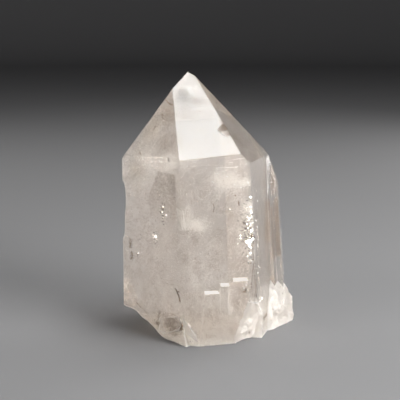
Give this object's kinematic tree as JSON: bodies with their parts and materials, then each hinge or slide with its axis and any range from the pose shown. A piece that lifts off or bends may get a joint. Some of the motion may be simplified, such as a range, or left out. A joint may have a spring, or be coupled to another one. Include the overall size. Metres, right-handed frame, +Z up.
{
  "type": "natural clear quartz point",
  "caption": "Six-sided quartz crystal with a pointed tip, standing on its rough broken base, with a slim side growth, growth steps and chipped corners.",
  "frame": {"origin": "on the surface the crystal stands on, under the middle of its bounding box", "axes": "+Z up, close to the crystal's long axis; -Y towards the front, where the largest pyramid face shows; +X to the right, towards the side growth"},
  "size_m": [0.0676, 0.0598, 0.1004],
  "materials": {
    "quartz": "natural crystal faces, glossy, with milky veils and inclusions inside, and a frosted broken base"
  },
  "bodies": {
    "root": {"quartz_point": "quartz"}
  },
  "joints": []
}
